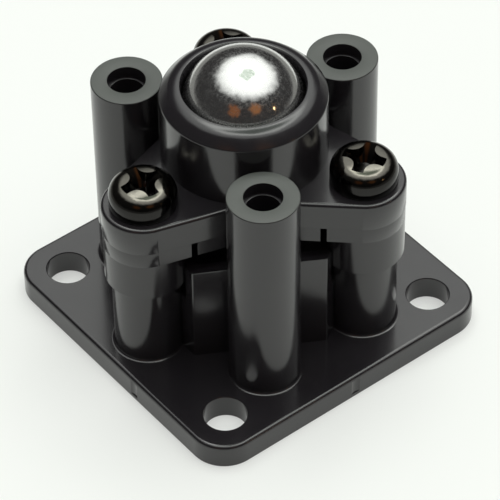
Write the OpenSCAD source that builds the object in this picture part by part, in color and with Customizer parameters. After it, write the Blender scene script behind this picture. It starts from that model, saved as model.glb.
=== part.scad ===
// Ball transfer unit: a small moulded ball caster on a square plate. Three tall
// hollow posts take long mounting screws. Three short posts carry a roller holder,
// and a screwed-on cap traps a steel ball over three steel rollers.
// Millimetres, +Z up. The origin is the centre of the plate's bottom face.

/* [Mounting plate] */
// Width of plate left outside the tall post that stands nearest a side
plate_margin = 1.275; // [0.8:0.025:5]
// Thickness of the mounting plate
plate_t = 2.4; // [1.6:0.1:4]
// Radius of the plate's four corners
plate_corner_r = 3.3; // [1:0.1:4.5]
// Round along the plate's top edge
plate_edge_r = 0.3; // [0.1:0.05:0.6]
// Distance from the plate's sides to the centre of a corner hole
corner_inset = 3.85; // [3.2:0.05:4.3]
// Diameter of the corner holes
corner_hole_d = 3.9; // [3:0.1:4.2]

/* [Tall posts] */
// Outside diameter of a tall post
post_d = 6.35; // [5.5:0.05:6.8]
// Gap between a tall post and the cap's ring
ring_gap = 0.525; // [0.3:0.025:2]
// Height of a tall post's top above the plate's bottom face
post_h = 23.3; // [20:0.1:30]
// Diameter of the hole down each tall post and through the plate
post_bore_d = 3; // [2.5:0.1:3.3]
// Width of the ledge in the mouth of that hole
mouth_ledge = 0.2; // [0.1:0.05:0.5]
// Depth of the wider mouth
post_mouth_depth = 1.2; // [0.5:0.1:3]
// Round on the top rim of a post
post_rim_r = 0.12; // [0.05:0.01:0.3]
// Fillet where a post stands on the plate
post_foot_r = 0.3; // [0.1:0.05:0.6]

/* [Short posts and drum] */
// How much less the radius of a short post is than its sleeve's
sleeve_step = 0.55; // [0.3:0.05:0.8]
// Width of the shoulder on a short post that carries the sleeve
shoulder_w = 0.8; // [0.5:0.05:1]
// Height of the drum above the plate's top face
drum_h = 10.2; // [8:0.1:14]
// How far each tall post is let into the drum's flat behind it
drum_let_in = 0.675; // [0.3:0.025:1.2]
// Width of that flat
drum_flat_w = 11.9; // [11:0.1:13]
// Thickness of the drum's wall
drum_wall = 1.2; // [0.8:0.1:2]
// Clearance round each sleeve where it stands in the drum's wall
pocket_clear = 0.15; // [0.1:0.05:0.4]

/* [Roller holder] */
// Space left between the drum and the holder's plate
lift_gap = 2; // [0.5:0.1:4]
// Thickness of the holder's plate
holder_t = 1.6; // [1:0.1:2.5]
// How far the holder's edge stands back from the edge of the cap's flange above it
holder_inset = 0.05; // [0.05:0.05:0.3]
// Length of a sleeve below the holder's plate
sleeve_drop = 3.8; // [3:0.1:5]
// Depth that a spigot enters its sleeve
sleeve_socket = 3; // [1.5:0.1:3.5]
// Width of each slot in the holder's plate
slot_w = 0.55; // [0.4:0.05:0.9]
// Distance between the two slots of a pair, inner face to inner face
slot_span = 10.7; // [10.2:0.1:11.5]
// How far from the drum's flat each slot reaches inwards
slot_reach = 4.2; // [2:0.1:4.4]

/* [Ball and rollers] */
// Diameter of the ball
ball_d = 11; // [9:0.1:11.4]
// Height of the ball's crown above the cap's rim
ball_proud = 2.9; // [2:0.1:3.6]
// Height of the ball's lowest point above the holder's plate
ball_floor_gap = 2; // [1.8:0.1:3]
// Diameter of a roller
roller_d = 2; // [1.5:0.1:2.2]
// Length of a roller
roller_l = 4; // [3:0.1:4.2]
// Angle between the ball's downward axis and the line to a roller
roller_angle = 40; // [35:1:42]

/* [Cap] */
// Width of the ear left round a screw's head
ear_margin = 0.65; // [0.4:0.05:0.9]
// Gap between the ring and a screw's head
head_gap = 0.75; // [0.4:0.05:1.5]
// Gap between the tall posts and the circle that the ears' straight sides run to
flange_gap = 0.875; // [0.7:0.025:1.4]
// Thickness of the cap's three-eared flange
flange_t = 2.8; // [2:0.1:4]
// Round along the flange's top edge
flange_edge_r = 0.2; // [0.1:0.05:0.5]
// Thickness of the cap's wall round the holder's cup
cap_wall = 1.2; // [0.8:0.1:2]
// Width of the flat rim round the ball
rim_w = 0.7; // [0.4:0.05:1.2]
// Round between that rim and the ring's chamfer
rim_edge_r = 0.25; // [0.1:0.05:0.4]
// Round between the chamfer and the ring's wall
chamfer_edge_r = 0.2; // [0.1:0.05:0.6]
// Depth from the rim to the narrowest part of the cap's mouth
lip_depth = 0.8; // [0.5:0.05:1.2]
// How much wider the mouth is at the rim than at its narrowest
mouth_flare = 0.15; // [0.05:0.01:0.4]
// Thickness of the holder's cup at the height of its rim
cup_rim = 0.45; // [0.35:0.05:0.8]
// Distance from the ball's centre down to the cup's rim
cup_drop = 1.7; // [1.2:0.1:2.5]

/* [Cap screws] */
// Length of a cap screw below its head
screw_l = 12; // [11:0.5:14]
// Core diameter of a cap screw
screw_core_d = 2.4; // [2:0.1:2.6]
// Length of the screw's tapered point
screw_tip_h = 1.2; // [0.6:0.1:2]
// Width of the flat end of that point
screw_tip_d = 0.8; // [0.4:0.1:1.4]
// Depth of the pilot hole below the screw's point
pilot_extra = 0.6; // [0.3:0.1:1.5]
// Diameter of the screw holes in the ears and sleeves
screw_hole_d = 3.5; // [3.3:0.1:3.8]
// Diameter of a screw's head
screw_head_d = 6; // [5.2:0.1:6.4]
// Height of a screw's head
screw_head_h = 2.5; // [2.3:0.1:2.8]
// Radius of the head's almost flat crown
head_crown_r = 15; // [10:1:20]
// Radius of the shoulder between the crown and the head's side
head_shoulder_r = 1.4; // [1.1:0.05:1.6]
// Round along the lower edge of the head
head_edge_r = 0.15; // [0.1:0.05:0.3]
// Width across the arms of the cross recess
recess_span = 4.1; // [3.6:0.1:4.4]
// Width of one arm of the cross recess
recess_arm = 1.05; // [0.8:0.05:1.2]
// Radius of the round corners between the arms
recess_corner_r = 0.95; // [0.6:0.05:1]
// Depth of the cross recess
recess_depth = 1.5; // [1:0.1:1.7]
// Width of the recess at its bottom
recess_floor_d = 1.6; // [1.2:0.1:2.4]

/* [Clearances] */
// Radial clearance between pieces that slip together
slip_clear = 0.05; // [0.02:0.01:0.12]
// Clearance between the ball and the cap
ball_clear = 0.15; // [0.08:0.01:0.2]
// Clearance between the ball and the holder's bowl
bowl_clear = 0.3; // [0.2:0.05:0.4]
// Clearance between the ball and each roller
roll_clear = 0.02; // [0.01:0.01:0.04]
// Clearance at each end of a roller
end_clear = 0.1; // [0.05:0.01:0.2]

/* [Hidden] */
$fn = 72;

// Directions from the centre: the tall posts and rollers share theirs, and the short
// posts, ears and cap screws share the ones in between.
tall_turns = [-30, 90, 210];
short_turns = [-90, 30, 150];
// How far each cap screw's recess stands turned from the direction that it faces
recess_turns = [-5, 1, 20];

// Heights, from the bottom face up
drum_top_z = plate_t + drum_h;
holder_z = drum_top_z + lift_gap;
flange_z = holder_z + holder_t;
flange_top_z = flange_z + flange_t;
sleeve_z = holder_z - sleeve_drop;
short_post_top_z = sleeve_z + sleeve_socket;
pocket_z = sleeve_z - lift_gap;

// Ball, rollers and what runs round them
ball_r = ball_d / 2;
ball_z = flange_z + ball_floor_gap + ball_r;
roller_r = roller_d / 2;
roller_reach = ball_r + roller_r + roll_clear;
roller_x = roller_reach * sin(roller_angle);
roller_z = ball_z - roller_reach * cos(roller_angle);
cup_r = ball_r + ball_clear + cup_rim;
cup_top_z = ball_z - cup_drop;

// Cap: its ring goes round the cup and follows the ball
cap_bore_r = cup_r + slip_clear;
cap_r = cap_bore_r + cap_wall;
cap_top_z = ball_z + ball_r - ball_proud;
cavity_r = ball_r + ball_clear;
lip_z = cap_top_z - lip_depth;
lip_r = sqrt(pow(cavity_r, 2) - pow(lip_z - ball_z, 2));
mouth_r = lip_r + mouth_flare;
rim_r = mouth_r + rim_w;
cap_chamfer = cap_r - rim_r;

// Posts, ears and plate: all are set out from the cap's ring
post_r = post_d / 2;
post_reach = cap_r + ring_gap + post_r;
screw_reach = cap_r + head_gap + screw_head_d / 2;
ear_r = screw_head_d / 2 + ear_margin;
hub_r = post_reach - post_r - flange_gap;
plate_side = 2 * (post_reach + post_r + plate_margin);
corner_pitch = plate_side - 2 * corner_inset;
sleeve_r = ear_r - holder_inset;
short_post_r = sleeve_r - sleeve_step;
spigot_r = short_post_r - shoulder_w;

// Screws
pilot_d = screw_core_d + 2 * slip_clear;
screw_tip_z = flange_top_z - screw_l;

// Drum: the distance to the flat behind each short post follows from the other flats
drum_flat_at = post_reach - post_r + drum_let_in;
drum_side_at = drum_flat_at * cos(60) + drum_flat_w / 2 * sin(60);

// How far a cut reaches past the face that it opens, and how far joined forms overlap
over = 1;
eps = 0.01;

// Places children at every turn in the list, at a distance from the centre
module around(turns, reach = 0) {
    for (a = turns) {
        rotate([0, 0, a]) translate([reach, 0, 0]) children();
    }
}

// Places children at the plate's four corners, each at half this pitch
module at_corners(pitch) {
    for (x = [-1, 1], y = [-1, 1]) {
        translate([x * pitch / 2, y * pitch / 2, 0]) children();
    }
}

// Square with round corners
module square_outline(side, corner_r) {
    square([side - 2 * corner_r, side], center = true);
    square([side, side - 2 * corner_r], center = true);
    at_corners(side - 2 * corner_r) circle(r = corner_r);
}

// Square slab with round corners and a round along its top edge
module rounded_slab(side, t, corner_r, edge_r) {
    straight = side - 2 * corner_r;
    linear_extrude(t - edge_r) square_outline(side, corner_r);
    linear_extrude(t) square_outline(side - 2 * edge_r, corner_r - edge_r);
    translate([0, 0, t - edge_r]) {
        for (a = [0:90:270]) {
            rotate([0, 0, a]) translate([side / 2 - edge_r, 0, 0]) rotate([90, 0, 0])
                cylinder(r = edge_r, h = straight, center = true);
        }
        at_corners(straight) rotate_extrude()
            translate([corner_r - edge_r, 0]) circle(r = edge_r, $fn = 32);
    }
}

// Half section of a round post with a fillet at its foot
module post_section(r, h) {
    square([r, h]);
    difference() {
        square([r + post_foot_r, post_foot_r]);
        translate([r + post_foot_r, post_foot_r]) circle(r = post_foot_r, $fn = 32);
    }
}

// Tall post, rounded along its rim
module tall_post() {
    h = post_h - plate_t;
    rotate_extrude() difference() {
        post_section(post_r, h);
        translate([post_r - post_rim_r, h - post_rim_r]) difference() {
            square(over);
            circle(r = post_rim_r, $fn = 32);
        }
    }
}

// Short post: its shoulder carries the sleeve, and its spigot goes up into the sleeve
module short_post() {
    rotate_extrude() post_section(short_post_r, sleeve_z - plate_t);
    cylinder(r = spigot_r, h = short_post_top_z - plate_t);
}

// Equilateral triangle whose sides lie at a distance from the centre, one of them at +X
module triangle(side_at) {
    rotate([0, 0, 180]) circle(r = 2 * side_at, $fn = 3);
}

// Six-sided drum outline: three wide flats behind the tall posts, three behind the short ones
module drum_outline(inset) {
    intersection() {
        rotate([0, 0, tall_turns[0]]) triangle(drum_flat_at - inset);
        rotate([0, 0, short_turns[0]]) triangle(drum_side_at - inset);
    }
}

// Three-eared outline, as its hub circle, its ear circles and the straight sides between
module ear_outline(inset = 0) {
    hub = hub_r - inset;
    ear = ear_r - inset;
    lean = acos((hub_r - ear_r) / screw_reach);
    circle(r = hub);
    around(short_turns) {
        translate([screw_reach, 0]) circle(r = ear);
        polygon([
            [hub * cos(lean), hub * sin(lean)],
            [hub * cos(lean), -hub * sin(lean)],
            [screw_reach + ear * cos(lean), -ear * sin(lean)],
            [screw_reach + ear * cos(lean), ear * sin(lean)]
        ]);
    }
}

// Three-eared slab with a round along its top edge
module rounded_ears(t, edge_r) {
    lean = acos((hub_r - ear_r) / screw_reach);
    side_l = screw_reach * sin(lean);
    linear_extrude(t - edge_r) ear_outline();
    linear_extrude(t) ear_outline(edge_r);
    translate([0, 0, t - edge_r]) around(short_turns) {
        translate([screw_reach, 0, 0]) rotate_extrude()
            translate([ear_r - edge_r, 0]) circle(r = edge_r, $fn = 32);
        for (s = [-1, 1]) {
            rotate([0, 0, s * lean]) translate([hub_r - edge_r, 0, 0])
                rotate([s * 90, 0, 0]) cylinder(r = edge_r, h = side_l);
        }
    }
}

// Plate, tall hollow posts, short posts and drum, moulded as one piece
module base() {
    color("#202422") difference() {
        union() {
            rounded_slab(plate_side, plate_t, plate_corner_r, plate_edge_r);
            translate([0, 0, plate_t]) {
                around(tall_turns, post_reach) tall_post();
                around(short_turns, screw_reach) short_post();
            }
            difference() {
                translate([0, 0, plate_t - eps]) linear_extrude(drum_h + eps) difference() {
                    drum_outline(0);
                    drum_outline(drum_wall);
                }
                around(short_turns, screw_reach) translate([0, 0, pocket_z])
                    cylinder(r = sleeve_r + pocket_clear, h = drum_top_z);
            }
        }
        at_corners(corner_pitch) translate([0, 0, -over])
            cylinder(d = corner_hole_d, h = plate_t + 2 * over);
        around(tall_turns, post_reach) {
            translate([0, 0, -over]) cylinder(d = post_bore_d, h = post_h + 2 * over);
            translate([0, 0, post_h - post_mouth_depth])
                cylinder(r = post_bore_d / 2 + mouth_ledge, h = post_mouth_depth + over);
        }
        around(short_turns, screw_reach) translate([0, 0, screw_tip_z - pilot_extra])
            cylinder(d = pilot_d, h = post_h);
    }
}

// Pocket that a roller lies in, open upwards to the ball
module roller_pocket() {
    pocket_r = roller_r + slip_clear;
    pocket_l = roller_l + 2 * end_clear;
    translate([roller_x, 0, roller_z]) {
        rotate([90, 0, 0]) cylinder(r = pocket_r, h = pocket_l, center = true);
        translate([-pocket_r, -pocket_l / 2, 0]) cube([2 * pocket_r, pocket_l, cup_top_z]);
    }
}

// Plate with three sleeves below it, and the cup that seats the rollers above it
module roller_holder() {
    color("#242826") difference() {
        union() {
            translate([0, 0, holder_z]) linear_extrude(holder_t) ear_outline(holder_inset);
            around(short_turns, screw_reach) translate([0, 0, sleeve_z])
                cylinder(r = sleeve_r, h = sleeve_drop + eps);
            translate([0, 0, flange_z - eps]) cylinder(r = cup_r, h = cup_top_z - flange_z + eps);
        }
        translate([0, 0, ball_z]) sphere(r = ball_r + bowl_clear);
        around(tall_turns) roller_pocket();
        around(short_turns, screw_reach) {
            translate([0, 0, sleeve_z - over])
                cylinder(r = spigot_r + slip_clear, h = sleeve_socket + slip_clear + over);
            translate([0, 0, sleeve_z]) cylinder(d = screw_hole_d, h = flange_z);
        }
        around(tall_turns, drum_flat_at - slot_reach) for (s = [-1, 1]) {
            translate([0, s * (slot_span + slot_w) / 2 - slot_w / 2, holder_z - over])
                cube([slot_reach + hub_r, slot_w, holder_t + 2 * over]);
        }
    }
}

// What a round takes off the outside of a 45 degree bend; it turns from +X towards +Y
module bend_cut(r) {
    reach = r + over;
    difference() {
        polygon([
            [0, 0],
            [reach, 0],
            [reach, reach * tan(22.5)],
            [reach * cos(45), reach * sin(45)]
        ]);
        circle(r = r, $fn = 32);
    }
}

// Half section of the ring before it is bored: a wall, a chamfer at 45 degrees and a flat
// rim, with a round at each end of the chamfer
module ring_section() {
    chamfer_z = cap_top_z - cap_chamfer;
    difference() {
        polygon([
            [0, flange_z],
            [cap_r, flange_z],
            [cap_r, chamfer_z],
            [rim_r, cap_top_z],
            [0, cap_top_z]
        ]);
        translate([cap_r - chamfer_edge_r, chamfer_z - chamfer_edge_r * tan(22.5)])
            bend_cut(chamfer_edge_r);
        translate([rim_r - rim_edge_r * tan(22.5), cap_top_z - rim_edge_r])
            rotate(45) bend_cut(rim_edge_r);
    }
}

// Half section of the cap's ring: bored for the cup, hollowed for the ball, and narrowed at
// the lip so that the ball cannot leave
module cap_section() {
    shoulder_z = cup_top_z + slip_clear;
    difference() {
        ring_section();
        translate([0, ball_z]) circle(r = cavity_r);
        translate([0, flange_z - over]) square([cavity_r, ball_z - flange_z + over]);
        translate([0, flange_z - over]) square([cap_bore_r, shoulder_z - flange_z + over]);
        polygon([
            [0, lip_z],
            [lip_r, lip_z],
            [mouth_r, cap_top_z],
            [mouth_r, cap_top_z + over],
            [0, cap_top_z + over]
        ]);
    }
}

// Three-eared flange and the ring that holds the ball down
module ball_cap() {
    color("#1c1f1e") {
        rotate_extrude() cap_section();
        difference() {
            translate([0, 0, flange_z]) rounded_ears(flange_t, flange_edge_r);
            translate([0, 0, flange_z - over])
                cylinder(r = cap_r - cap_wall / 2, h = flange_t + 2 * over);
            around(short_turns, screw_reach) translate([0, 0, flange_z - over])
                cylinder(d = screw_hole_d, h = flange_t + 2 * over);
        }
    }
}

// Polished steel ball
module ball() {
    color("#c8ccd0") translate([0, 0, ball_z]) sphere(r = ball_r, $fn = 96);
}

// Steel roller under the ball, lying across the direction that it faces
module roller(turn) {
    edge = 0.15;
    color("#b4b8bc") rotate([0, 0, turn]) translate([roller_x, 0, roller_z]) rotate([90, 0, 0])
        rotate_extrude() polygon([
            [0, -roller_l / 2],
            [roller_r - edge, -roller_l / 2],
            [roller_r, edge - roller_l / 2],
            [roller_r, roller_l / 2 - edge],
            [roller_r - edge, roller_l / 2],
            [0, roller_l / 2]
        ]);
}

// Half section of a pan head: a shallow crown, a rounded shoulder and a short side whose
// lower edge is rounded too
module head_section() {
    side_r = screw_head_d / 2;
    shoulder_x = side_r - head_shoulder_r;
    crown_z = screw_head_h - head_crown_r;
    shoulder_z = crown_z + sqrt(pow(head_crown_r - head_shoulder_r, 2) - pow(shoulder_x, 2));
    crown_edge_x = shoulder_x * head_crown_r / (head_crown_r - head_shoulder_r);
    intersection() {
        translate([0, crown_z]) circle(r = head_crown_r);
        square([crown_edge_x, screw_head_h]);
    }
    intersection() {
        translate([shoulder_x, shoulder_z]) circle(r = head_shoulder_r);
        square([side_r, screw_head_h]);
    }
    square([side_r - head_edge_r, shoulder_z]);
    translate([0, head_edge_r]) square([side_r, shoulder_z - head_edge_r]);
    translate([side_r - head_edge_r, head_edge_r]) circle(r = head_edge_r, $fn = 32);
}

// Outline of the cross recess: four arms with round corners of metal between them
module recess_outline() {
    corner_at = recess_arm / 2 + recess_corner_r;
    square([recess_arm, recess_span + over], center = true);
    square([recess_span + over, recess_arm], center = true);
    difference() {
        square(2 * corner_at, center = true);
        at_corners(2 * corner_at) circle(r = recess_corner_r, $fn = 48);
    }
}

// Black self-tapping screw with a pan head and a tapered cross recess; its thread is left
// plain
module cap_screw(turn, recess_turn) {
    color("#161616") rotate([0, 0, turn]) translate([screw_reach, 0, flange_top_z]) {
        difference() {
            rotate_extrude() head_section();
            rotate([0, 0, recess_turn]) translate([0, 0, screw_head_h - recess_depth])
                intersection() {
                    linear_extrude(recess_depth + eps) recess_outline();
                    cylinder(d1 = recess_floor_d, d2 = recess_span, h = recess_depth + eps);
                }
        }
        rotate_extrude() polygon([
            [0, eps],
            [screw_core_d / 2, eps],
            [screw_core_d / 2, screw_tip_h - screw_l],
            [screw_tip_d / 2, -screw_l],
            [0, -screw_l]
        ]);
    }
}

base();
roller_holder();
ball_cap();
ball();
roller(tall_turns[0]);  // roller_right
roller(tall_turns[1]);  // roller_rear
roller(tall_turns[2]);  // roller_left
cap_screw(short_turns[0], recess_turns[0]);  // cap_screw_front
cap_screw(short_turns[1], recess_turns[1]);  // cap_screw_right
cap_screw(short_turns[2], recess_turns[2]);  // cap_screw_left
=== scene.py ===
# %% [markdown]
# # Ball transfer unit
# A ball transfer unit carries a load that slides over it in any direction. A steel ball
# rolls on three small rollers inside a moulded black housing, and three screws hold the
# housing together. This lesson rebuilds its surfaces in Blender, piece by piece, round a
# CAD model that already has the right sizes. Every length is written in millimetres and
# scaled to metres when a piece is finished.

# %% Load the CAD frame
import math

import bmesh
import bpy
from mathutils import Matrix, Vector


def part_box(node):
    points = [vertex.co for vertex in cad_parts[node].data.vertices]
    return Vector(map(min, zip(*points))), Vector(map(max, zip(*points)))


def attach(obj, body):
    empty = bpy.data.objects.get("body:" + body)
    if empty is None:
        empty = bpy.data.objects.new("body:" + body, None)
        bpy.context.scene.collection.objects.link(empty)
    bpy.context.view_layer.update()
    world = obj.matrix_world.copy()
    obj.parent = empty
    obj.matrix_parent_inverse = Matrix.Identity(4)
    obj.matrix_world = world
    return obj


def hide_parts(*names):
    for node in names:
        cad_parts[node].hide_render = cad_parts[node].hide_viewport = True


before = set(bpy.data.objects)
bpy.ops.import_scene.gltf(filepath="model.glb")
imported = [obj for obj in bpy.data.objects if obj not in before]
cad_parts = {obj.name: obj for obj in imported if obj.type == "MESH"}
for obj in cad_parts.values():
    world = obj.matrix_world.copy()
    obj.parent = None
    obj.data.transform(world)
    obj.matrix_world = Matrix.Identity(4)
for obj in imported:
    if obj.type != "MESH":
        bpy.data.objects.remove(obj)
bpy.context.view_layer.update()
mm = 0.001

# %% [markdown]
# ## Where things stand
# The unit is set out round the ball. Three tall posts face three directions, and the
# short posts with their screws face the three directions between. Taking the heights
# from the CAD boxes, and not from memory, keeps the new pieces on the CAD ones. A box
# says nothing of what lies inside it, so those few sizes are written out. A turn is an
# angle in degrees round the ball, and a reach is a distance from it.

# %% Read the main heights
def node_box(name):
    low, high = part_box(name)
    return [c / mm for c in low], [c / mm for c in high]


plate_half = node_box("base")[1][0]
post_top_z = node_box("base")[1][2]
cap_top_z = node_box("ball_cap")[1][2]
flange_z = node_box("ball_cap")[0][2]
ball_low, ball_high = node_box("ball")
ball_r = (ball_high[2] - ball_low[2]) / 2
ball_z = (ball_high[2] + ball_low[2]) / 2
print(f"plate {2 * plate_half:.1f}, posts to {post_top_z:.1f}, ball {2 * ball_r:.1f} at {ball_z:.1f}")

# %% Name the directions and the sizes that the boxes don't give
tall_turns = {"front": -30, "rear": 90, "left": 210}
short_turns = {"front": -90, "right": 30, "left": 150}
post_reach = 11.05
screw_reach = 11.1
plate_t = 2.4
flange_top_z = 19.0
print("tall posts at", tall_turns, "and short posts at", short_turns)

# %% [markdown]
# ## Helpers for turned shapes
# Posts, sleeves, rings, rollers and screw heads are all round. Each starts as half of its
# section, drawn as a line of points, and the spin operator sweeps that line once round
# the axis. Sharp rings are then rounded with the bevel operator, because no moulded or
# turned edge is truly sharp, and the thin bright lines on small rounds are what makes an
# object look real.

# %% Spin a half section
def spun(section, steps=96):
    bm = bmesh.new()
    points = [bm.verts.new((r, 0, z)) for r, z in section]
    line = [bm.edges.new(pair) for pair in zip(points, points[1:])]
    bmesh.ops.spin(bm, geom=points + line, cent=(0, 0, 0), axis=(0, 0, 1),
                   angle=math.tau, steps=steps, use_merge=True)
    bmesh.ops.remove_doubles(bm, verts=bm.verts, dist=1e-4)
    bmesh.ops.recalc_face_normals(bm, faces=bm.faces)
    return bm


# %% Round a ring of edges
def round_edges(bm, edges, width, segments=4):
    bmesh.ops.bevel(bm, geom=edges, offset=width, offset_type="OFFSET", segments=segments,
                    profile=0.5, affect="EDGES", material=-1)


def round_ring(bm, r, z, width, segments=4):
    ring = [e for e in bm.edges if all(
        abs(v.co.z - z) < 1e-3 and abs(v.co.xy.length - r) < 1e-3 for v in e.verts)]
    round_edges(bm, ring, width, segments)


# %% Move a shape to its place, or add one shape to another
def placed(bm, turn=0, reach=0, z=0):
    move = Matrix.Rotation(math.radians(turn), 4, "Z") @ Matrix.Translation((reach, 0, z))
    bmesh.ops.transform(bm, matrix=move, verts=bm.verts)
    return bm


def joined(shapes):
    whole = bmesh.new()
    for bm in shapes:
        part = bpy.data.meshes.new("part")
        bm.to_mesh(part)
        bm.free()
        whole.from_mesh(part)
        bpy.data.meshes.remove(part)
    return whole


# %% [markdown]
# ## Helpers for cuts and for the finished object
# A Boolean modifier takes one closed shape out of another. It works best at sizes near
# one, so the cut is made while the piece is still in millimetres. The finished piece is
# then scaled to metres inside its mesh, so that its object stays at the origin, unturned
# and unscaled, as the CAD objects are.

# %% Make an object, and cut one shape out of another
def as_object(bm, name):
    mesh = bpy.data.meshes.new(name)
    bm.to_mesh(mesh)
    bm.free()
    obj = bpy.data.objects.new(name, mesh)
    bpy.context.collection.objects.link(obj)
    return obj


def cut(bm, tools):
    work, tool = as_object(bm, "work"), as_object(tools, "tool")
    boolean = work.modifiers.new("cut", "BOOLEAN")
    boolean.object, boolean.operation, boolean.solver = tool, "DIFFERENCE", "EXACT"
    result = work.evaluated_get(bpy.context.evaluated_depsgraph_get()).to_mesh()
    out = bmesh.new()
    out.from_mesh(result)
    for obj in (work, tool):
        mesh = obj.data
        bpy.data.objects.remove(obj)
        bpy.data.meshes.remove(mesh)
    return out


# %% Finish a piece
def finished(bm, name, body, material, sharp=32):
    bmesh.ops.scale(bm, vec=(mm, mm, mm), verts=bm.verts)
    obj = as_object(bm, name)
    obj.data.materials.append(material)
    obj.data.shade_smooth()
    obj.data.set_sharp_from_angle(angle=math.radians(sharp))
    even = obj.modifiers.new("even_normals", "WEIGHTED_NORMAL")
    even.keep_sharp = True
    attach(obj, body)
    print(f"{name}: {len(obj.data.polygons)} faces")
    return obj


# %% [markdown]
# ## Black moulded plastic
# The housing is a hard black plastic, polished by its mould. It is nearly black by itself, so most of
# what the eye sees is the white sheet under it and the soft light above, mirrored faintly. Its
# roughness wanders a little where the melt flowed, and a shallow waviness bends the reflections. Both
# come from noise on object coordinates, which are metres here, so a scale of 300 gives patches of
# about 3 mm. The flat tops of the tall posts came from a duller part of the mould, and there the
# colour is also painted paler, a painted highlight of the lamp above. One material can be both, if
# its roughness and its colour change with height.

# %% Start a material, and draw noise on it
def new_material(name):
    material = bpy.data.materials.new(name)
    material.use_nodes = True
    nodes, links = material.node_tree.nodes, material.node_tree.links
    return material, nodes, links, nodes["Principled BSDF"]


def noise(nodes, links, scale, detail=3.0, rough=0.5):
    place = nodes.new("ShaderNodeTexCoord")
    texture = nodes.new("ShaderNodeTexNoise")
    texture.inputs["Scale"].default_value = scale
    texture.inputs["Detail"].default_value = detail
    texture.inputs["Roughness"].default_value = rough
    links.new(place.outputs["Object"], texture.inputs["Vector"])
    return texture.outputs["Fac"]


# %% Turn a value into another range, or into a colour between two
def ranged(nodes, links, value, low, high, from_low=0.3, from_high=0.7):
    span = nodes.new("ShaderNodeMapRange")
    span.inputs["From Min"].default_value = from_low
    span.inputs["From Max"].default_value = from_high
    span.inputs["To Min"].default_value = low
    span.inputs["To Max"].default_value = high
    links.new(value, span.inputs["Value"])
    return span.outputs["Result"]


def two_tone(nodes, links, value, low, high):
    ramp = nodes.new("ShaderNodeValToRGB")
    ramp.color_ramp.elements[0].color = low
    ramp.color_ramp.elements[1].color = high
    links.new(value, ramp.inputs["Fac"])
    return ramp.outputs["Color"]


# %% Blend two numbers or two colours
# A Mix node has sockets for every kind of value, so those in use are picked by number.
mix_sockets = {"FLOAT": (2, 3, 0), "RGBA": (6, 7, 2)}


def blend(nodes, links, factor, low, high, kind="RGBA"):
    mix = nodes.new("ShaderNodeMix")
    mix.data_type = kind
    low_at, high_at, result_at = mix_sockets[kind]
    for at, value in ((low_at, low), (high_at, high)):
        if isinstance(value, (tuple, float)):
            mix.inputs[at].default_value = value
        else:
            links.new(value, mix.inputs[at])
    links.new(factor, mix.inputs[0])
    return mix.outputs[result_at]


# %% Read a piece's own height, or turn a pattern into small bumps
def object_height(nodes, links):
    place, height = nodes.new("ShaderNodeTexCoord"), nodes.new("ShaderNodeSeparateXYZ")
    links.new(place.outputs["Object"], height.inputs[0])
    return height.outputs["Z"]


def bumped(nodes, links, height, distance, under=None):
    bump = nodes.new("ShaderNodeBump")
    bump.inputs["Distance"].default_value = distance
    links.new(height, bump.inputs["Height"])
    if under:
        links.new(under, bump.inputs["Normal"])
    return bump.outputs["Normal"]


# %% Moulded black plastic
tint_scale, gloss_scale, wave_scale, grain_scale = 260, 420, 180, 5200


def moulded(name, matte_and_lit_above=None):
    material, nodes, links, shader = new_material(name)
    shader.inputs["IOR"].default_value = 1.6
    tone_and_painted_top = two_tone(nodes, links, noise(nodes, links, tint_scale),
                    (0.0130, 0.0112, 0.0140, 1), (0.0195, 0.0180, 0.0200, 1))
    gloss = ranged(nodes, links, noise(nodes, links, gloss_scale, detail=5), 0.14, 0.2)
    if matte_and_lit_above:
        top = ranged(nodes, links, object_height(nodes, links), 0, 1,
                     matte_and_lit_above - 0.05 * mm, matte_and_lit_above)
        gloss = blend(nodes, links, top, gloss, 0.55, "FLOAT")
        # Painted highlight: above that height the colour is painted paler, as if lit by the lamp.
        tone_and_painted_top = blend(nodes, links, top, tone_and_painted_top, (0.060, 0.066, 0.060, 1))
    links.new(tone_and_painted_top, shader.inputs["Base Color"])
    links.new(gloss, shader.inputs["Roughness"])
    wave = bumped(nodes, links, noise(nodes, links, wave_scale, detail=1), 0.02 * mm)
    grain = bumped(nodes, links, noise(nodes, links, grain_scale, detail=2), 0.0012 * mm, wave)
    links.new(grain, shader.inputs["Normal"])
    print("material:", name)
    return material


black_plastic = moulded("moulded_black_plastic")
matte_and_painted_lit_top = moulded("matte_topped_black_plastic", matte_and_lit_above=(post_top_z - 0.01) * mm)

# %% [markdown]
# ## Steel and screw finishes
# The ball is a bearing ball, polished like a mirror: a metal with very low roughness. It has rolled
# under loads, which leaves it covered in specks that scatter the light, so a second, rougher metal is
# mixed in where a fine noise is high. The rollers are ground, and their roughness varies a little.
# The screws are plated glossy black. Round their crowns the colour is painted paler, a painted
# highlight of the lamp, so their colour changes with height.

# %% Polished ball
polished_steel, nodes, links, shader = new_material("polished_ball_steel")
shader.inputs["Metallic"].default_value = 1.0
shader.inputs["Base Color"].default_value = (0.66, 0.66, 0.65, 1)
shader.inputs["Roughness"].default_value = 0.05
rubbed = nodes.new("ShaderNodeBsdfAnisotropic")
rubbed.inputs["Color"].default_value = (0.62, 0.62, 0.61, 1)
scratches = noise(nodes, links, 2500, detail=6, rough=0.7)
links.new(ranged(nodes, links, scratches, 0.2, 0.42), rubbed.inputs["Roughness"])
specks = noise(nodes, links, 4200, detail=3, rough=0.8)
share = nodes.new("ShaderNodeMixShader")
links.new(ranged(nodes, links, specks, 0.0, 0.5, 0.38, 0.66), share.inputs["Fac"])
links.new(shader.outputs["BSDF"], share.inputs[1])
links.new(rubbed.outputs["BSDF"], share.inputs[2])
links.new(share.outputs["Shader"], nodes["Material Output"].inputs["Surface"])

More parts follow.
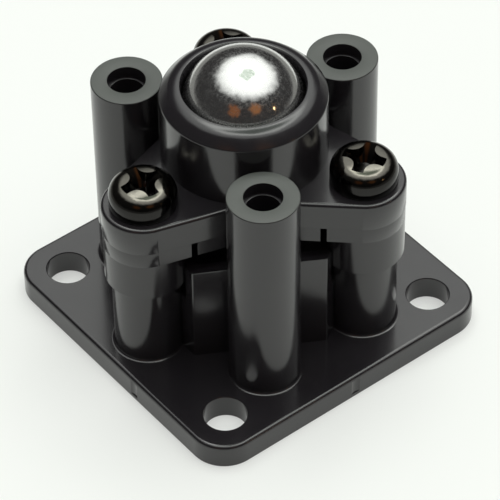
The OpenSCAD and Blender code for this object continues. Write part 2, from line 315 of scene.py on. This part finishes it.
# %% Ground steel
ground_steel, nodes, links, shader = new_material("ground_roller_steel")
shader.inputs["Metallic"].default_value = 1.0
shader.inputs["Base Color"].default_value = (0.55, 0.56, 0.57, 1)
links.new(ranged(nodes, links, noise(nodes, links, 2500, detail=4), 0.2, 0.34),
          shader.inputs["Roughness"])

# %% Black screw plating
black_plating, nodes, links, shader = new_material("black_screw_plating")
shader.inputs["Metallic"].default_value = 1.0
# Painted highlight: the colour turns paler over the crown, where the lamp lights it.
crown = ranged(nodes, links, object_height(nodes, links), 0, 1,
               (flange_top_z + 1.5) * mm, (flange_top_z + 2.2) * mm)
painted_crown_highlight = two_tone(nodes, links, crown, (0.030, 0.029, 0.028, 1), (0.112, 0.106, 0.092, 1))
links.new(painted_crown_highlight, shader.inputs["Base Color"])
links.new(ranged(nodes, links, noise(nodes, links, 2200, detail=4), 0.07, 0.18),
          shader.inputs["Roughness"])
links.new(bumped(nodes, links, noise(nodes, links, 1500, detail=3), 0.006 * mm),
          shader.inputs["Normal"])
print("materials:", [m.name for m in (polished_steel, ground_steel, black_plating)])

# %% [markdown]
# ## Mounting plate
# The plate is a square slab with round corners. A single square face gets its corners
# rounded by a vertex bevel, and extruding it gives the slab. The top edge has a soft
# mould round, the bottom edge a much smaller one. The holes are cut with tools whose
# ends flare, so that every hole keeps a small round at its rim. Two sides also bear a
# gate scar, a shallow hollow where the plate was broken off the sprue. A round plug that
# only just reaches into the side leaves one.

# %% Plate slab
plate_corner_r = 3.3
plate = bmesh.new()
bmesh.ops.create_grid(plate, x_segments=1, y_segments=1, size=plate_half)
bmesh.ops.bevel(plate, geom=plate.verts[:], offset=plate_corner_r, offset_type="OFFSET",
                segments=14, profile=0.5, affect="VERTICES", material=-1)
slab = bmesh.ops.extrude_face_region(plate, geom=plate.faces[:], use_keep_orig=True)
raised = [g for g in slab["geom"] if isinstance(g, bmesh.types.BMVert)]
bmesh.ops.translate(plate, vec=(0, 0, plate_t), verts=raised)
bmesh.ops.recalc_face_normals(plate, faces=plate.faces)
print("slab corners:", len(plate.verts))


# %% Find the edges of a flat top or bottom, and round them
def rim_edges(bm, z):
    level = [e for e in bm.edges if all(abs(v.co.z - z) < 1e-4 for v in e.verts)]
    return [e for e in level if e.calc_face_angle(0) > math.radians(45)]


round_edges(plate, rim_edges(plate, plate_t), 0.38, 6)
round_edges(plate, rim_edges(plate, 0), 0.08, 2)
print("slab faces:", len(plate.faces))


# %% Holes with flared ends, and gate scars
corner_hole_r, corner_hole_at = 1.95, 11.65
bore_r = 1.5
scar_r, scar_low_z, scar_high_z = 1.5, 0.4, 2
scar_places = ((0, plate_half + 1.42), (-78.6, 17.26))


def hole_tool(r, low, high, flare=0.07):
    return spun([(0, low - 1), (r + flare, low - 1), (r + flare, low), (r, low + flare),
                 (r, high - flare), (r + flare, high), (r + flare, high + 1), (0, high + 1)])


def plug_tool(r, low, high, steps=96):
    return spun([(0, low), (r, low), (r, high), (0, high)], steps)


tools = [placed(hole_tool(corner_hole_r, 0, plate_t), turn, corner_hole_at * math.sqrt(2))
         for turn in (45, 135, 225, 315)]
tools += [placed(hole_tool(bore_r, 0, plate_t), turn, post_reach)
          for turn in tall_turns.values()]
tools += [placed(plug_tool(scar_r, scar_low_z, scar_high_z, 64), turn, reach)
          for turn, reach in scar_places]
plate = cut(plate, joined(tools))
base_plate = finished(plate, "base_plate", "housing", black_plastic)
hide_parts("base")

# %% [markdown]
# ## Tall posts
# Each tall post is a tube for a long mounting screw. Its section runs up the bore, steps
# out over a small ledge into the mouth, crosses the flat top and comes down the outside
# to a fillet on the plate. The ledge catches a thin ring of light deep in the mouth.

# Every post starts a little inside the plate, so that no seam of light shows under it.

# %% Turn a tall post
post_r, mouth_r, mouth_depth = 3.175, 1.7, 1.2
foot_z, foot_flare = plate_t - 0.1, 0.3


def tall_post():
    ledge_z = post_top_z - mouth_depth
    bm = spun([(bore_r, foot_z), (bore_r, ledge_z), (mouth_r, ledge_z),
               (mouth_r, post_top_z), (post_r, post_top_z), (post_r, plate_t),
               (post_r + foot_flare, plate_t), (post_r + foot_flare, foot_z),
               (bore_r, foot_z)])
    round_ring(bm, post_r, post_top_z, 0.12, 4)
    round_ring(bm, mouth_r, post_top_z, 0.05, 2)
    round_ring(bm, bore_r, ledge_z, 0.04, 2)
    round_ring(bm, post_r, plate_t, 0.29, 5)
    return bm


for side, turn in tall_turns.items():
    finished(placed(tall_post(), turn, post_reach), f"tall_post_{side}", "housing",
             matte_and_painted_lit_top)

# %% [markdown]
# ## Short posts
# The short posts carry the roller holder. Each is a round post with a pilot bore for its
# screw. At a shoulder it steps in to a spigot, and the holder's wider sleeve slips over
# the spigot and stands on the shoulder. Bore, spigot, shoulder and foot are all round
# the same axis, so one section draws them.

# %% Turn a short post
sleeve_low_z = 10.8
spigot_top_z = sleeve_low_z + 3
short_post_r, spigot_r, pilot_r = 3.1, 2.3, 1.25


def short_post():
    bm = spun([(pilot_r, foot_z), (pilot_r, spigot_top_z), (spigot_r, spigot_top_z),
               (spigot_r, sleeve_low_z), (short_post_r, sleeve_low_z),
               (short_post_r, plate_t), (short_post_r + foot_flare, plate_t),
               (short_post_r + foot_flare, foot_z), (pilot_r, foot_z)])
    round_ring(bm, short_post_r, plate_t, 0.29, 5)
    return bm


for side, turn in short_turns.items():
    finished(placed(short_post(), turn, screw_reach), f"short_post_{side}", "housing",
             black_plastic)

# %% [markdown]
# ## Drum
# Behind the posts stands a six-sided wall. Its outline is a triangle whose corners are
# cut off, so a three-sided circle is trimmed with three bisect planes. Inset leaves a
# band of even width, and extruding the band raises the wall. The sleeves reach down
# beside it, so it has a round pocket for each.

# %% Six-sided wall
drum_top_z = 12.6
long_side_at, short_side_at = 8.55, 9.428
drum = bmesh.new()
bmesh.ops.create_circle(drum, cap_ends=True, segments=3, radius=2 * long_side_at)
first = max(drum.verts[:], key=lambda v: v.co.x)
bmesh.ops.rotate(drum, verts=drum.verts, matrix=Matrix.Rotation(
    math.radians(30) - math.atan2(first.co.y, first.co.x), 3, "Z"))
for turn in short_turns.values():
    away = Vector((math.cos(math.radians(turn)), math.sin(math.radians(turn)), 0))
    bmesh.ops.bisect_plane(drum, geom=drum.verts[:] + drum.edges[:] + drum.faces[:],
                           plane_co=away * short_side_at, plane_no=away, clear_outer=True)
bmesh.ops.contextual_create(drum, geom=[e for e in drum.edges if e.is_boundary])
print("drum outline corners:", len(drum.verts), "faces:", len(drum.faces))

# %% Raise the wall and cut the pockets for the sleeves
drum_wall_t = 1.2
pocket_r, pocket_low_z, pocket_high_z = 3.8, 8.8, 14
band = bmesh.ops.inset_region(drum, faces=drum.faces[:], thickness=drum_wall_t,
                              use_even_offset=True, use_boundary=True)["faces"]
bmesh.ops.delete(drum, geom=[f for f in drum.faces if f not in band], context="FACES")
bmesh.ops.translate(drum, vec=(0, 0, foot_z), verts=drum.verts)
wall = bmesh.ops.extrude_face_region(drum, geom=drum.faces[:], use_keep_orig=True)
raised = [g for g in wall["geom"] if isinstance(g, bmesh.types.BMVert)]
bmesh.ops.translate(drum, vec=(0, 0, drum_top_z - foot_z), verts=raised)
bmesh.ops.recalc_face_normals(drum, faces=drum.faces)
upright = [e for e in drum.edges if abs(e.verts[0].co.z - e.verts[1].co.z) > 1]
round_edges(drum, upright, 0.12, 3)
round_edges(drum, rim_edges(drum, drum_top_z), 0.08, 2)
pockets = [placed(plug_tool(pocket_r, pocket_low_z, pocket_high_z), turn, screw_reach)
           for turn in short_turns.values()]
drum = cut(drum, joined(pockets))
finished(drum, "drum", "housing", black_plastic)

# %% [markdown]
# ## Three-eared outline
# The holder's plate and the cap's flange share one outline: a round ear at each screw,
# joined to a hub circle by sides that touch both. The cosine of such a side's lean is the
# difference of the two radii over the reach. That gives each ear's arc and the corner
# where the sides of two arms meet, so one flat face can be drawn and raised.

# %% Draw and raise the outline
hub_r = 7.0
half_arc_steps = 24


def eared_slab(ear, hub, low, high):
    lean = math.acos((hub - ear) / screw_reach)
    valley = hub / math.cos(lean - math.radians(60))
    bm = bmesh.new()
    outline = []
    for turn in short_turns.values():
        ahead = math.radians(turn)
        for step in range(-half_arc_steps, half_arc_steps + 1):
            at = ahead + lean * step / half_arc_steps
            outline.append((screw_reach * math.cos(ahead) + ear * math.cos(at),
                            screw_reach * math.sin(ahead) + ear * math.sin(at)))
        corner = ahead + math.radians(60)
        outline.append((valley * math.cos(corner), valley * math.sin(corner)))
    bm.faces.new([bm.verts.new((x, y, low)) for x, y in outline])
    slab = bmesh.ops.extrude_face_region(bm, geom=bm.faces[:], use_keep_orig=True)
    raised = [g for g in slab["geom"] if isinstance(g, bmesh.types.BMVert)]
    bmesh.ops.translate(bm, vec=(0, 0, high - low), verts=raised)
    bmesh.ops.recalc_face_normals(bm, faces=bm.faces)
    return bm


# %% [markdown]
# ## Roller holder
# The holder is the plate under the flange, a sleeve under each ear, and the cup that
# keeps the rollers in place below the ball. Two narrow slots behind each tall post leave
# a springy tongue. The plate stands back a little from the flange above it, which draws
# the fine parting line between the two. The cup's bowl follows the ball, and a pocket
# for each roller is cut into it and left open upwards.

# %% Holder plate with its slots
holder_z = 14.6
sleeve_r, holder_hub_r = 3.68, 6.9
screw_way_r = 1.75
slot_l, slot_w, slot_h = 6, 0.55, 4
slot_reach, slot_at = 7.35, 5.625
holder_plate = eared_slab(sleeve_r, holder_hub_r, holder_z, flange_z)
round_edges(holder_plate, rim_edges(holder_plate, holder_z), 0.03, 2)
slots = []
for turn in tall_turns.values():
    for side in (-1, 1):
        slot = bmesh.new()
        bmesh.ops.create_cube(slot, size=1)
        bmesh.ops.scale(slot, vec=(slot_l, slot_w, slot_h), verts=slot.verts)
        bmesh.ops.translate(slot, vec=(slot_reach, side * slot_at, (holder_z + flange_z) / 2),
                            verts=slot.verts)
        slots.append(placed(slot, turn))
screw_ways = [placed(plug_tool(screw_way_r, holder_z - 4, flange_z + 4, 48), turn, screw_reach)
              for turn in short_turns.values()]
holder_plate = cut(holder_plate, joined(slots + screw_ways))
finished(holder_plate, "holder_plate", "housing", black_plastic)

# %% Sleeves
socket_r, socket_top_z = 2.35, spigot_top_z + 0.05


def sleeve():
    top_z = holder_z + 0.1
    bm = spun([(socket_r, sleeve_low_z), (sleeve_r, sleeve_low_z), (sleeve_r, top_z),
               (screw_way_r, top_z), (screw_way_r, socket_top_z), (socket_r, socket_top_z),
               (socket_r, sleeve_low_z)])
    round_ring(bm, sleeve_r, sleeve_low_z, 0.05, 2)
    return bm


for side, turn in short_turns.items():
    finished(placed(sleeve(), turn, screw_reach), f"sleeve_{side}", "housing",
             black_plastic)

# %% Cup with its bowl
cup_r, cup_top_z, bowl_r = 6.1, 22, 5.8
bowl_mouth_r = math.sqrt(bowl_r ** 2 - (ball_z - cup_top_z) ** 2)
bowl = [(bowl_r * math.sin(a), ball_z - bowl_r * math.cos(a))
        for a in (math.radians(d) for d in range(70, -1, -5))]
cup = spun([(0, flange_z), (cup_r, flange_z), (cup_r, cup_top_z), (bowl_mouth_r, cup_top_z)] + bowl)
print("bowl mouth radius:", round(bowl_mouth_r, 3))

# %% Roller pockets
roller_turns = {"right": -30, "rear": 90, "left": 210}
roller_reach, roller_z = 4.191, 18.705
roller_pocket_r, roller_pocket_half = 1.05, 2.1
way_in_w, way_in_l, way_in_h = 2.09, 4.19, 6


def laid_down(bm):
    quarter_turn = Matrix.Rotation(math.radians(90), 3, "X")
    bmesh.ops.rotate(bm, verts=bm.verts, matrix=quarter_turn)
    return placed(bm, reach=roller_reach, z=roller_z)


for turn in roller_turns.values():
    lying = plug_tool(roller_pocket_r, -roller_pocket_half, roller_pocket_half, 32)
    way_in = bmesh.new()
    bmesh.ops.create_cube(way_in, size=1)
    bmesh.ops.scale(way_in, vec=(way_in_w, way_in_l, way_in_h), verts=way_in.verts)
    bmesh.ops.translate(way_in, vec=(roller_reach, 0, roller_z + way_in_h / 2),
                        verts=way_in.verts)
    for tool in (laid_down(lying), way_in):
        cup = cut(cup, placed(tool, turn))
cup = finished(cup, "roller_cup", "housing", black_plastic)
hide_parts("roller_holder")

# %% [markdown]
# ## Cap
# The cap is a flange with the same three ears, and a ring that stands on it and traps
# the ball. The ring is turned from its section: a straight wall, a wide chamfer, a
# narrow rim and a mouth that narrows to a lip a little below the rim. The rim's outer
# edge has a large round, which carries the bright band in front of the ball.

# %% Flange
ear_r = 3.72
ring_inner_r = 6.15
flange = eared_slab(ear_r, hub_r, flange_z, flange_top_z)
round_edges(flange, rim_edges(flange, flange_top_z), 0.36, 6)
round_edges(flange, rim_edges(flange, flange_z), 0.03, 2)
holes = [plug_tool(ring_inner_r, flange_z - 1, flange_top_z + 1)]
holes += [placed(plug_tool(screw_way_r, flange_z - 1, flange_top_z + 1, 48), turn, screw_reach)
          for turn in short_turns.values()]
flange = cut(flange, joined(holes))
flange = finished(flange, "cap_flange", "housing", black_plastic)
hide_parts("ball_cap")

# %% Ring
ring_r, rim_r, chamfer = 7.35, 6.206, 1.144
mouth_edge_r, cavity_r, cavity_low_z = 5.506, 5.65, 22.05
chamfer_z, wall_low_z = cap_top_z - chamfer, flange_z + 0.1
lip_up = math.asin((cap_top_z - 0.8 - ball_z) / cavity_r)
cavity = [(cavity_r * math.cos(a), ball_z + cavity_r * math.sin(a))
          for a in (lip_up * k / 8 for k in range(9))]
ring = spun([(ring_inner_r, wall_low_z), (ring_inner_r, cavity_low_z), (cavity_r, cavity_low_z)]
            + cavity
            + [(mouth_edge_r, cap_top_z), (rim_r, cap_top_z), (ring_r, chamfer_z),
               (ring_r, wall_low_z), (ring_inner_r, wall_low_z)], 160)
round_ring(ring, ring_r, chamfer_z, 0.12, 4)
round_ring(ring, rim_r, cap_top_z, 0.58, 9)
round_ring(ring, mouth_edge_r, cap_top_z, 0.06, 2)
finished(ring, "cap_ring", "housing", black_plastic)

# %% [markdown]
# ## Ball and rollers
# A mirror shows every flaw of its mesh, so the ball is a fine icosphere, whose triangles
# are all nearly the same size. The rollers are short turned pins with chamfered ends.

# %% Ball
ball = bmesh.new()
bmesh.ops.create_icosphere(ball, subdivisions=7, radius=ball_r)
ball = finished(placed(ball, z=ball_z), "polished_ball", "ball", polished_steel)
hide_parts("ball")

# %% Rollers
roller_r, roller_half, roller_chamfer = 1, 2, 0.15
for side, turn in roller_turns.items():
    roller = spun([(0, -roller_half), (roller_r - roller_chamfer, -roller_half),
                   (roller_r, roller_chamfer - roller_half),
                   (roller_r, roller_half - roller_chamfer),
                   (roller_r - roller_chamfer, roller_half), (0, roller_half)], 64)
    roller = finished(placed(laid_down(roller), turn), f"steel_roller_{side}",
                      f"roller_{side}", ground_steel)
    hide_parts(f"roller_{side}")

# %% [markdown]
# ## Cap screws
# Each screw has a pan head with a cross recess. The recess is a tapered plug, from which
# four blocks with one rounded edge are taken, so that rounded lobes of metal stand
# between its arms. Cutting that plug out of the turned head gives the recess, and a fine
# bevel along its edges picks up the light.

# %% Recess tool
head_h = 2.5
recess_r, recess_low_r, recess_depth = 2.05, 0.8, 1.5
arm_half, lobe_r, block_side = 0.525, 0.95, 4


def recess_tool(turn):
    low_z, high_z = head_h - recess_depth, head_h + 0.6
    plug = spun([(0, low_z), (recess_low_r, low_z), (recess_r, head_h),
                 (recess_r + 0.5, high_z), (0, high_z)], 64)
    for quarter in range(4):
        block = bmesh.new()
        bmesh.ops.create_cube(block, size=1)
        middle = arm_half + block_side / 2
        bmesh.ops.scale(block, vec=(block_side, block_side, block_side), verts=block.verts)
        bmesh.ops.translate(block, vec=(middle, middle, head_h - 1), verts=block.verts)
        inner = [e for e in block.edges if all(
            abs(v.co.x - arm_half) < 1e-3 and abs(v.co.y - arm_half) < 1e-3 for v in e.verts)]
        round_edges(block, inner, lobe_r, 12)
        plug = cut(plug, placed(block, 90 * quarter))
    return placed(plug, turn)


# %% Head and shank
head_r, crown_r, crown_edge_r, shoulder_r = 3, 15, 1.7, 1.4
shank_r, shank_l, point_r, point_l = 1.2, 12, 0.4, 1.2
head_low_z = 0.001


def screw_shape(recess_turn):
    crown_lean = math.asin(crown_edge_r / crown_r)
    crown = [(crown_r * math.sin(a), head_h - crown_r * (1 - math.cos(a)))
             for a in (crown_lean * k / 6 for k in range(7))]
    shoulder_x = head_r - shoulder_r
    shoulder_z = head_h - crown_r + math.sqrt((crown_r - shoulder_r) ** 2 - shoulder_x ** 2)
    start = math.atan2(crown[-1][1] - shoulder_z, crown[-1][0] - shoulder_x)
    shoulder = [(shoulder_x + shoulder_r * math.cos(a), shoulder_z + shoulder_r * math.sin(a))
                for a in (start * (1 - k / 12) for k in range(1, 13))]
    shank = [(shank_r, head_low_z), (shank_r, point_l - shank_l), (point_r, -shank_l),
             (0, -shank_l)]
    head = spun(crown + shoulder + [(head_r, head_low_z)] + shank, 96)
    round_ring(head, head_r, head_low_z, 0.15, 3)
    return cut(head, recess_tool(recess_turn))


# %% Place the screws, each with its recess at its own turn
recess_turns = {"front": -5, "right": 1, "left": 20}
worn_edge = 0.05
for side, turn in short_turns.items():
    screw = screw_shape(recess_turns[side])
    screw = placed(placed(screw, z=flange_top_z, reach=screw_reach), turn)
    screw = finished(screw, f"pan_screw_{side}", "housing", black_plating,
                     sharp=40)
    edge = screw.modifiers.new("worn_edges", "BEVEL")
    edge.width, edge.segments, edge.limit_method = worn_edge * mm, 2, "ANGLE"
    edge.angle_limit = math.radians(40)
    screw.modifiers.move(1, 0)
    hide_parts(f"cap_screw_{side}")

# %% [markdown]
# ## Table
# The unit stands on a white sheet. One wide disc is enough, because the camera looks down on it. The
# sheet's colour fades to grey with the distance from the unit, a painted falloff of the lamp's pool
# of light, so the picture shows only the white middle, but the flanks of the posts mirror the painted
# grey as a darker band. To keep the sheet pale without more light on the unit, part of what a camera
# or a mirror sees of it is emission. The rest is a plain rough surface, which keeps the soft shadow.

# %% Table top
table_r = 20000
table_top = bmesh.new()
bmesh.ops.create_circle(table_top, cap_ends=True, segments=64, radius=table_r)
bmesh.ops.scale(table_top, vec=(mm, mm, mm), verts=table_top.verts)
floor = as_object(table_top, "table_top")
white_table, nodes, links, shader = new_material("white_table")
shader.inputs["Roughness"].default_value = 0.9
shader.inputs["Specular IOR Level"].default_value = 0.1
print("table radius in m:", table_r * mm)

# %% White sheet with a painted falloff of light to grey away from the unit
lit_pool_r, dim_from_r = 90, 150
spot = nodes.new("ShaderNodeTexCoord")
away = nodes.new("ShaderNodeVectorMath")
away.operation = "LENGTH"
links.new(spot.outputs["Object"], away.inputs[0])
# Painted light: away from the unit the colour fades from white to grey, a painted falloff of the
# lamp's light.
painted_falloff = ranged(nodes, links, away.outputs["Value"], 0, 1, lit_pool_r * mm, dim_from_r * mm)
bare = nodes.new("ShaderNodeEmission")
for socket, lit_near, painted_dim_far in (
        (shader.inputs["Base Color"], (0.83, 0.855, 0.83, 1), (0.22, 0.22, 0.21, 1)),
        (bare.inputs["Color"], (1.0, 1.0, 0.985, 1), (0.34, 0.34, 0.33, 1))):
    links.new(two_tone(nodes, links, painted_falloff, lit_near, painted_dim_far), socket)
print("sheet radius:", lit_pool_r)

# %% Share of emission that a camera, a mirror or glass sees
bare_share = 0.4
seen = nodes.new("ShaderNodeLightPath")
direct = seen.outputs["Is Camera Ray"]
for ray in ("Is Glossy Ray", "Is Transmission Ray"):
    either = nodes.new("ShaderNodeMath")
    either.operation = "MAXIMUM"
    links.new(direct, either.inputs[0])
    links.new(seen.outputs[ray], either.inputs[1])
    direct = either.outputs["Value"]
mixed = nodes.new("ShaderNodeMixShader")
links.new(ranged(nodes, links, direct, 0, bare_share, 0, 1), mixed.inputs["Fac"])
links.new(shader.outputs["BSDF"], mixed.inputs[1])
links.new(bare.outputs["Emission"], mixed.inputs[2])
links.new(mixed.outputs["Shader"], nodes["Material Output"].inputs["Surface"])
floor.data.materials.append(white_table)
print("staged:", floor.name)

# %% [markdown]
# ## Light
# One broad soft lamp hangs over the table, and the rest of the room is almost dark. On
# the ball that gives a bright cloud in a dark field, and on the plastic it gives pale
# tops and dark flanks. The lamp is brightest in a ring and dimmer in its middle and
# towards its rim. The world's background draws it from the direction alone, as lobes laid
# one over another. A grey band just above the horizon stands for the walls, and three
# small warm spots stand for things in the room that the ball mirrors.
#
# A perfectly round lamp looks drawn, so a low noise bends the directions a little before
# the lobes read them.

# %% World, with slightly bent directions
world = bpy.data.worlds.new("studio")
bpy.context.scene.world = world
world.use_nodes = True
nodes, links = world.node_tree.nodes, world.node_tree.links
sky = nodes["Background"]
bend = 0.3
place = nodes.new("ShaderNodeTexCoord")
ripple = nodes.new("ShaderNodeTexNoise")
ripple.inputs["Scale"].default_value = 5.0
ripple.inputs["Detail"].default_value = 4.0
links.new(place.outputs["Generated"], ripple.inputs["Vector"])
shift = nodes.new("ShaderNodeVectorMath")
shift.operation = "MULTIPLY_ADD"
shift.inputs[1].default_value = (bend, bend, bend)
links.new(ripple.outputs["Color"], shift.inputs[0])
links.new(place.outputs["Generated"], shift.inputs[2])
centred = nodes.new("ShaderNodeVectorMath")
centred.operation = "SUBTRACT"
centred.inputs[1].default_value = (bend / 2, bend / 2, bend / 2)
links.new(shift.outputs["Vector"], centred.inputs[0])
direction = nodes.new("ShaderNodeVectorMath")
direction.operation = "NORMALIZE"
links.new(centred.outputs["Vector"], direction.inputs[0])
print("world:", world.name)


# %% Lobe: 1 near an aim, fading to 0 at a wider angle
def lobe(aim, full_to, none_from):
    dot = nodes.new("ShaderNodeVectorMath")
    dot.operation = "DOT_PRODUCT"
    dot.inputs[1].default_value = Vector(aim).normalized()
    links.new(direction.outputs["Vector"], dot.inputs[0])
    fade = nodes.new("ShaderNodeMapRange")
    fade.interpolation_type = "SMOOTHSTEP"
    fade.inputs["From Min"].default_value = math.cos(math.radians(none_from))
    fade.inputs["From Max"].default_value = math.cos(math.radians(full_to))
    links.new(dot.outputs["Value"], fade.inputs["Value"])
    return fade.outputs["Result"]


# %% Walls, then the lamp's rim, ring and middle
room, walls = (0.035, 0.034, 0.034, 1), (0.14, 0.14, 0.135, 1)
lamp_aim = (-0.105, 0.226, 0.969)
level = nodes.new("ShaderNodeSeparateXYZ")
links.new(direction.outputs["Vector"], level.inputs[0])
above_walls = ranged(nodes, links, level.outputs["Z"], 0, 1, 0.0, 0.12)
colour = blend(nodes, links, above_walls, walls, room)
for full_to, none_from, glow in ((35, 55, (1.3, 1.33, 1.29, 1)),
                                 (20, 29, (4.6, 4.7, 4.5, 1)),
                                 (9, 20, (0.72, 0.84, 0.72, 1))):
    colour = blend(nodes, links, lobe(lamp_aim, full_to, none_from), colour, glow)
print("lamp aims along", lamp_aim)

# %% Warm spots, and the strength of it all
for aim, full_to, glow in (((0.42, -0.72, 0.52), 5, (0.22, 0.085, 0.035, 1)),
                           ((0.80, -0.18, 0.54), 5, (0.28, 0.12, 0.05, 1)),
                           ((0.866, 0.367, 0.339), 0.2, (4.0, 2.4, 1.1, 1))):
    colour = blend(nodes, links, lobe(aim, full_to, 2 * full_to + 3), colour, glow)
sky.inputs["Strength"].default_value = 1.16
links.new(colour, sky.inputs["Color"])
print("world nodes:", len(nodes))

# %% [markdown]
# ## Camera
# A long lens from well above the table keeps the posts nearly parallel. The camera is
# rolled about its own view, tipped up from looking straight down, swung round to face the
# unit, and only then moved to its place. The last turn in the list is done first.

# %% Camera
camera_data = bpy.data.cameras.new("camera")
camera_data.lens, camera_data.sensor_width = 229.2, 36
camera_data.clip_start = 0.01
camera = bpy.data.objects.new("camera", camera_data)
bpy.context.collection.objects.link(camera)
camera_place = Vector((161.74, -125.10, 207.81))
swing, tip, roll = 52.187, 45.417, -0.947
camera.matrix_world = (
    Matrix.Translation(camera_place * mm)
    @ Matrix.Rotation(math.radians(swing), 4, "Z")
    @ Matrix.Rotation(math.radians(tip), 4, "X")
    @ Matrix.Rotation(math.radians(roll), 4, "Z"))
bpy.context.scene.camera = camera
bpy.context.scene.view_settings.view_transform = "Standard"
print("camera distance in mm:", round(camera_place.length))

# %% [markdown]
# ## Finish
# The last step updates the scene and hands it over.

# %% Finish
bpy.context.view_layer.update()
